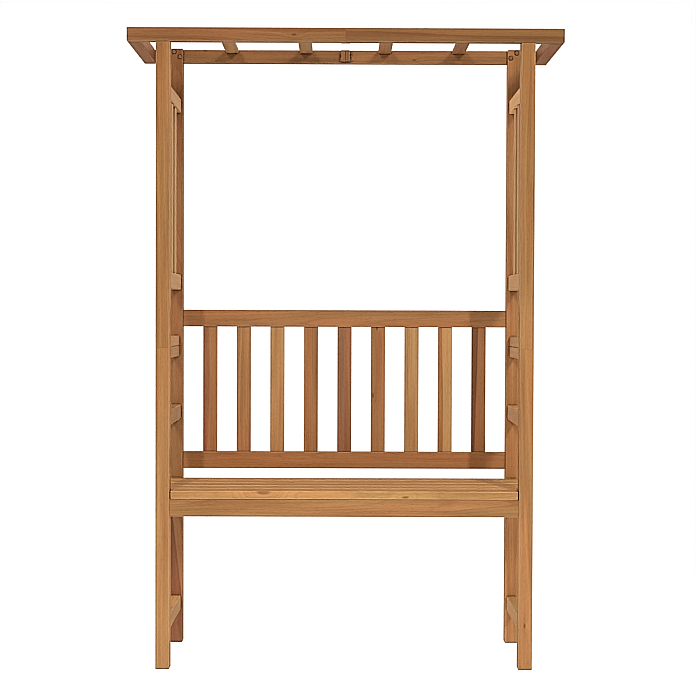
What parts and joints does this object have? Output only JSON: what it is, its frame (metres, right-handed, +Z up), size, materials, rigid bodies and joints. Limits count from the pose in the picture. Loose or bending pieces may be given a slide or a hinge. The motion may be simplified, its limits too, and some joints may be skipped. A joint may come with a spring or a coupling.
{
  "type": "arbor bench",
  "caption": "Free-standing timber garden arbor with a slatted bench seat, slatted back, trellis sides and a flat open roof.",
  "frame": {"origin": "on the floor, under the middle of the bench's width and depth", "axes": "+Z up, +Y from the front to the back, +X to the right of someone who looks at the front"},
  "size_m": [1.359, 0.452, 2],
  "materials": {
    "post_timber": "oiled, golden brown, fine straight grain",
    "rail_timber": "oiled, mid brown, fine straight grain",
    "slat_timber": "oiled, mid to reddish brown",
    "seat_timber": "oiled, light golden",
    "roof_timber": "oiled, darker reddish brown"
  },
  "bodies": {
    "root": {"front_left_lower_post": "post_timber", "front_left_upper_post": "post_timber", "front_right_lower_post": "post_timber", "front_right_upper_post": "post_timber", "rear_left_lower_post": "post_timber", "rear_left_upper_post": "post_timber", "rear_right_lower_post": "post_timber", "rear_right_upper_post": "post_timber", "left_foot_rail": "rail_timber", "left_seat_rail": "rail_timber", "left_arm_rail": "rail_timber", "left_lower_joint_rail": "rail_timber", "left_upper_joint_rail": "rail_timber", "left_middle_rail": "rail_timber", "left_top_rail": "rail_timber", "left_front_trellis_slat": "slat_timber", "left_rear_trellis_slat": "slat_timber", "right_foot_rail": "rail_timber", "right_seat_rail": "rail_timber", "right_arm_rail": "rail_timber", "right_lower_joint_rail": "rail_timber", "right_upper_joint_rail": "rail_timber", "right_middle_rail": "rail_timber", "right_top_rail": "rail_timber", "right_front_trellis_slat": "slat_timber", "right_rear_trellis_slat": "slat_timber", "back_bottom_rail": "rail_timber", "back_top_rail": "rail_timber", "back_slat_1": "slat_timber", "back_slat_2": "slat_timber", "back_slat_3": "slat_timber", "back_slat_4": "slat_timber", "back_slat_5": "slat_timber", "back_slat_6": "slat_timber", "back_slat_7": "slat_timber", "back_slat_8": "slat_timber", "back_slat_9": "slat_timber", "seat_front_apron": "seat_timber", "seat_rear_apron": "seat_timber", "seat_middle_bearer": "seat_timber", "seat_slat_1": "seat_timber", "seat_slat_2": "seat_timber", "seat_slat_3": "seat_timber", "seat_slat_4": "seat_timber", "seat_slat_5": "seat_timber", "roof_front_left_beam": "roof_timber", "roof_front_right_beam": "roof_timber", "roof_rear_left_beam": "roof_timber", "roof_rear_right_beam": "roof_timber", "roof_left_end_beam": "roof_timber", "roof_right_end_beam": "roof_timber", "roof_rafter_1": "roof_timber", "roof_rafter_2": "roof_timber", "roof_rafter_3": "roof_timber", "roof_rafter_4": "roof_timber", "roof_front_left_cleat": "roof_timber", "roof_front_right_cleat": "roof_timber", "roof_rear_left_cleat": "roof_timber", "roof_rear_right_cleat": "roof_timber"}
  },
  "joints": []
}
